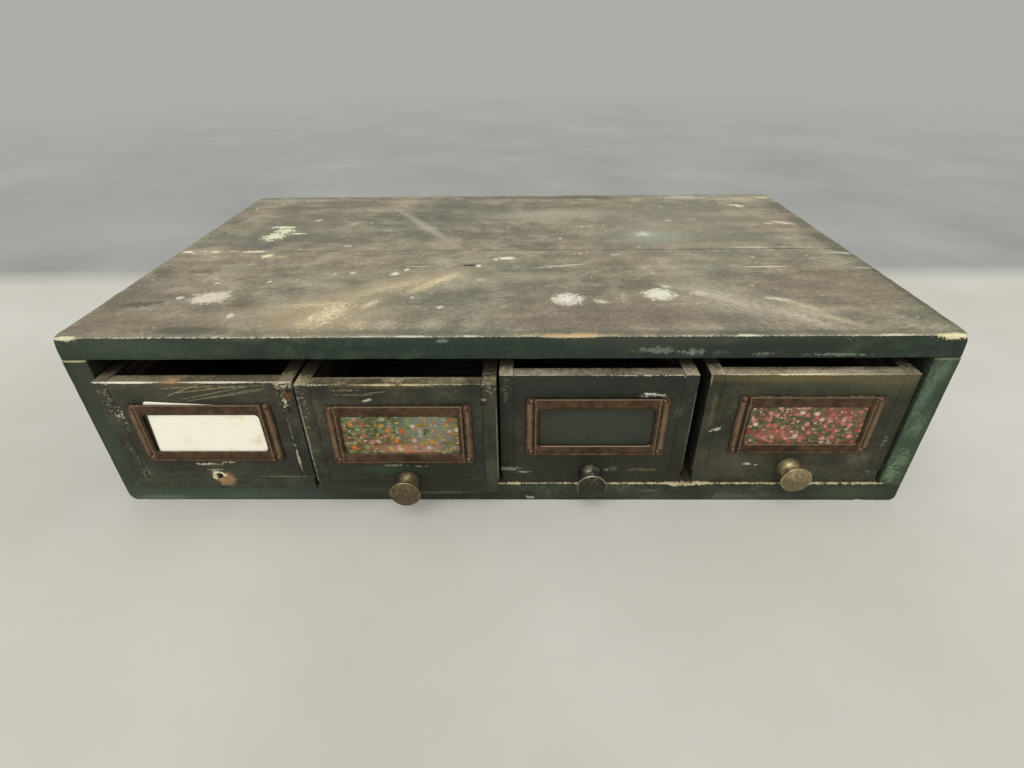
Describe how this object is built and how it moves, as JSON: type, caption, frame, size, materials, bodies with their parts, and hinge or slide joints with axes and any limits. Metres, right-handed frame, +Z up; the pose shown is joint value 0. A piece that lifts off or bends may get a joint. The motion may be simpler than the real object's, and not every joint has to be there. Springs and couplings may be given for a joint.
{
  "type": "tabletop drawer cabinet",
  "caption": "Low wooden tabletop cabinet with a row of loose drawers behind an open front, each with a metal label holder and a round knob, made for seed packets or cards.",
  "frame": {"origin": "the middle of the case's flat underside", "axes": "+X to the right along the row of drawers, +Y to the back, +Z up"},
  "size_m": [0.66, 0.4274, 0.1593],
  "materials": {
    "worn_top_paint": "dark paint scrubbed thin and greyed by use, with bare pale scars",
    "case_paint": "old dark green oil paint, rubbed through at the arrises",
    "drawer_paint": "old charcoal green paint, rubbed through at the arrises",
    "bare_wood": "bare, aged softwood",
    "coppered_steel": "copper plated steel gone brown, rubbed bright on the ridges",
    "knob_brass": "tarnished turned brass",
    "iron": "plain iron, dull",
    "card": "matt printed card"
  },
  "bodies": {
    "case": {"top_front_board": "worn_top_paint", "top_rear_board": "worn_top_paint", "left_side": "case_paint", "right_side": "case_paint", "bottom_board": "case_paint", "back_panel": "bare_wood", "case_nails": "iron"},
    "drawer_1": {"drawer_1_front": "drawer_paint", "drawer_1_left_side": "drawer_paint", "drawer_1_right_side": "drawer_paint", "drawer_1_back": "drawer_paint", "drawer_1_bottom": "drawer_paint", "drawer_1_label_holder": "coppered_steel", "drawer_1_label_pins": "coppered_steel", "drawer_1_nails": "iron"},
    "card_1": {"drawer_1_card": "card"},
    "drawer_2": {"drawer_2_front": "drawer_paint", "drawer_2_left_side": "drawer_paint", "drawer_2_right_side": "drawer_paint", "drawer_2_back": "drawer_paint", "drawer_2_bottom": "drawer_paint", "drawer_2_label_holder": "coppered_steel", "drawer_2_label_pins": "coppered_steel", "drawer_2_nails": "iron", "drawer_2_knob": "knob_brass", "drawer_2_knob_screw": "iron"},
    "card_2": {"drawer_2_card": "card"},
    "drawer_3": {"drawer_3_front": "drawer_paint", "drawer_3_left_side": "drawer_paint", "drawer_3_right_side": "drawer_paint", "drawer_3_back": "drawer_paint", "drawer_3_bottom": "drawer_paint", "drawer_3_label_holder": "coppered_steel", "drawer_3_label_pins": "coppered_steel", "drawer_3_nails": "iron", "drawer_3_knob": "knob_brass", "drawer_3_knob_screw": "iron"},
    "drawer_4": {"drawer_4_front": "drawer_paint", "drawer_4_left_side": "drawer_paint", "drawer_4_right_side": "drawer_paint", "drawer_4_back": "drawer_paint", "drawer_4_bottom": "drawer_paint", "drawer_4_label_holder": "coppered_steel", "drawer_4_label_pins": "coppered_steel", "drawer_4_nails": "iron", "drawer_4_knob": "knob_brass", "drawer_4_knob_screw": "iron"},
    "card_4": {"drawer_4_card": "card"}
  },
  "joints": [
    {"name": "drawer_1_slide", "type": "slide", "parent": "case", "child": "drawer_1", "axis": [0, -1, 0], "range_m": [-0.012, 0.3]},
    {"name": "card_1_slide", "type": "slide", "parent": "drawer_1", "child": "card_1", "axis": [0, 0, 1], "range_m": [0, 0.03]},
    {"name": "drawer_2_slide", "type": "slide", "parent": "case", "child": "drawer_2", "axis": [0, -1, 0], "range_m": [-0.016, 0.3]},
    {"name": "card_2_slide", "type": "slide", "parent": "drawer_2", "child": "card_2", "axis": [0, 0, 1], "range_m": [0, 0.03]},
    {"name": "drawer_3_slide", "type": "slide", "parent": "case", "child": "drawer_3", "axis": [0, -1, 0], "range_m": [-0.0035, 0.3]},
    {"name": "drawer_4_slide", "type": "slide", "parent": "case", "child": "drawer_4", "axis": [0, -1, 0], "range_m": [-0.0025, 0.3]},
    {"name": "card_4_slide", "type": "slide", "parent": "drawer_4", "child": "card_4", "axis": [0, 0, 1], "range_m": [0, 0.03]}
  ]
}
